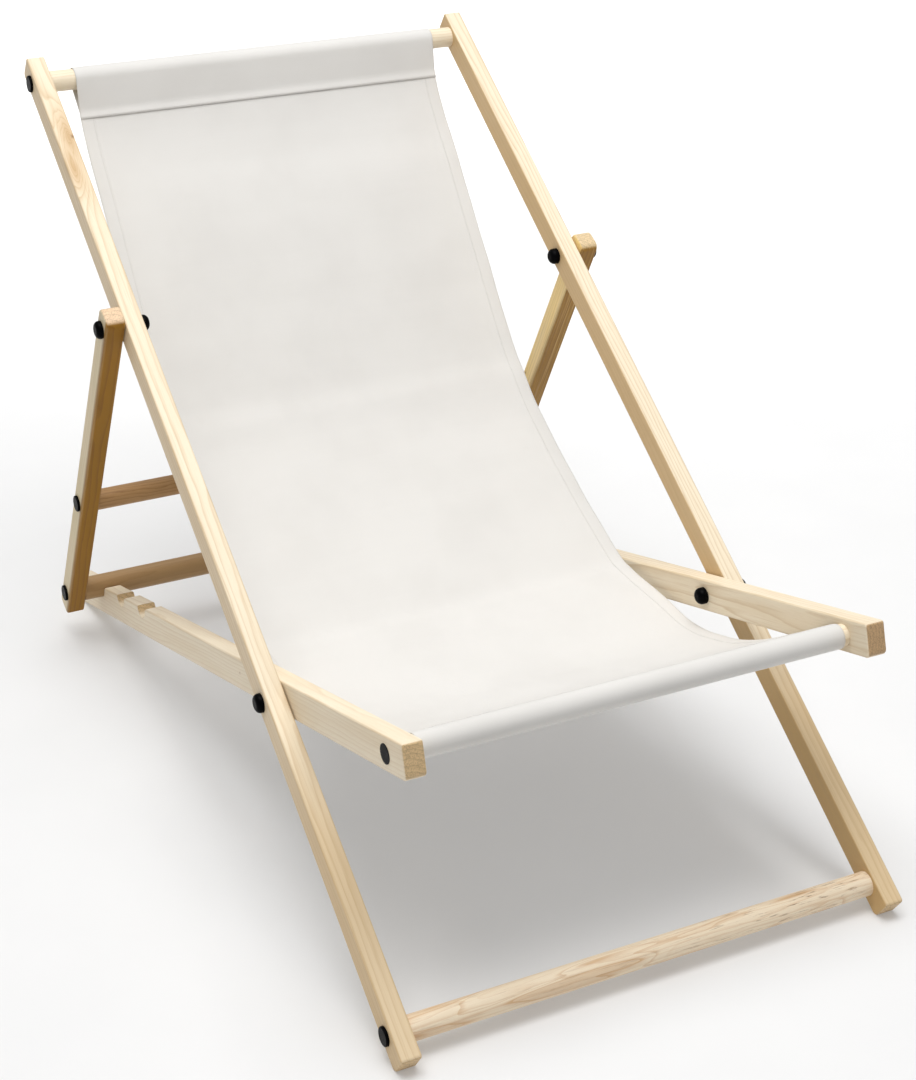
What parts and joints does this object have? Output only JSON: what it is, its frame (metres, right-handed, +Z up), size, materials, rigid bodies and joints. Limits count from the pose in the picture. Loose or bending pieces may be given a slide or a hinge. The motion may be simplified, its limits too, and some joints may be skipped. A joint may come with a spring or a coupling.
{
  "type": "folding deck chair",
  "caption": "Folding wooden deck chair with a slack canvas sling, a hinged seat frame and a prop frame whose rung sits in notches.",
  "frame": {"origin": "on the floor under the middle of the whole chair's outline, standing open in the rearmost notch", "axes": "+X across the chair towards its right rail seen from the front, +Y from the front to the back, +Z up; the sitter faces -Y"},
  "size_m": [0.6062, 1.0206, 0.7028],
  "materials": {
    "pine": "satin oiled",
    "pine_rung": "satin oiled",
    "beech_rung": "satin oiled",
    "canvas": "woven cotton",
    "cover_plastic": "satin",
    "spacer_plastic": "satin",
    "zinc_steel": "zinc plated"
  },
  "bodies": {
    "back_frame": {"outer_rail_left": "pine", "outer_rail_right": "pine", "top_rung": "pine_rung", "foot_rung": "pine_rung", "top_rung_screws": "zinc_steel", "foot_rung_screws": "zinc_steel", "top_rung_covers": "cover_plastic", "foot_rung_covers": "cover_plastic", "sling_canvas": "canvas", "seat_pivot_bolt_left": "zinc_steel", "seat_pivot_bolt_right": "zinc_steel", "seat_pivot_nut_left": "zinc_steel", "seat_pivot_nut_right": "zinc_steel", "seat_pivot_spacer_left": "spacer_plastic", "seat_pivot_spacer_right": "spacer_plastic", "seat_pivot_head_cover_left": "cover_plastic", "seat_pivot_head_cover_right": "cover_plastic", "seat_pivot_nut_cover_left": "cover_plastic", "seat_pivot_nut_cover_right": "cover_plastic", "prop_pivot_bolt_left": "zinc_steel", "prop_pivot_bolt_right": "zinc_steel", "prop_pivot_nut_left": "zinc_steel", "prop_pivot_nut_right": "zinc_steel", "prop_pivot_spacer_left": "spacer_plastic", "prop_pivot_spacer_right": "spacer_plastic", "prop_pivot_head_cover_left": "cover_plastic", "prop_pivot_head_cover_right": "cover_plastic", "prop_pivot_nut_cover_left": "cover_plastic", "prop_pivot_nut_cover_right": "cover_plastic"},
    "seat_frame": {"seat_rail_left": "pine", "seat_rail_right": "pine", "front_rung": "pine_rung", "front_rung_screws": "zinc_steel", "front_rung_covers": "cover_plastic"},
    "prop_frame": {"prop_leg_left": "pine", "prop_leg_right": "pine", "prop_upper_rung": "beech_rung", "prop_lower_rung": "beech_rung", "prop_upper_rung_screws": "zinc_steel", "prop_lower_rung_screws": "zinc_steel", "prop_upper_rung_covers": "cover_plastic", "prop_lower_rung_covers": "cover_plastic"}
  },
  "joints": [
    {"name": "seat_fold", "type": "hinge", "parent": "back_frame", "child": "seat_frame", "pos_m": [0, -0.19561, 0.2206], "axis": [1, 0, 0], "range_deg": [-28, 49], "deforming": ["sling_canvas"]},
    {"name": "prop_swing", "type": "hinge", "parent": "back_frame", "child": "prop_frame", "pos_m": [0, 0.17974, 0.4806], "axis": [1, 0, 0], "range_deg": [0, 85]}
  ]
}
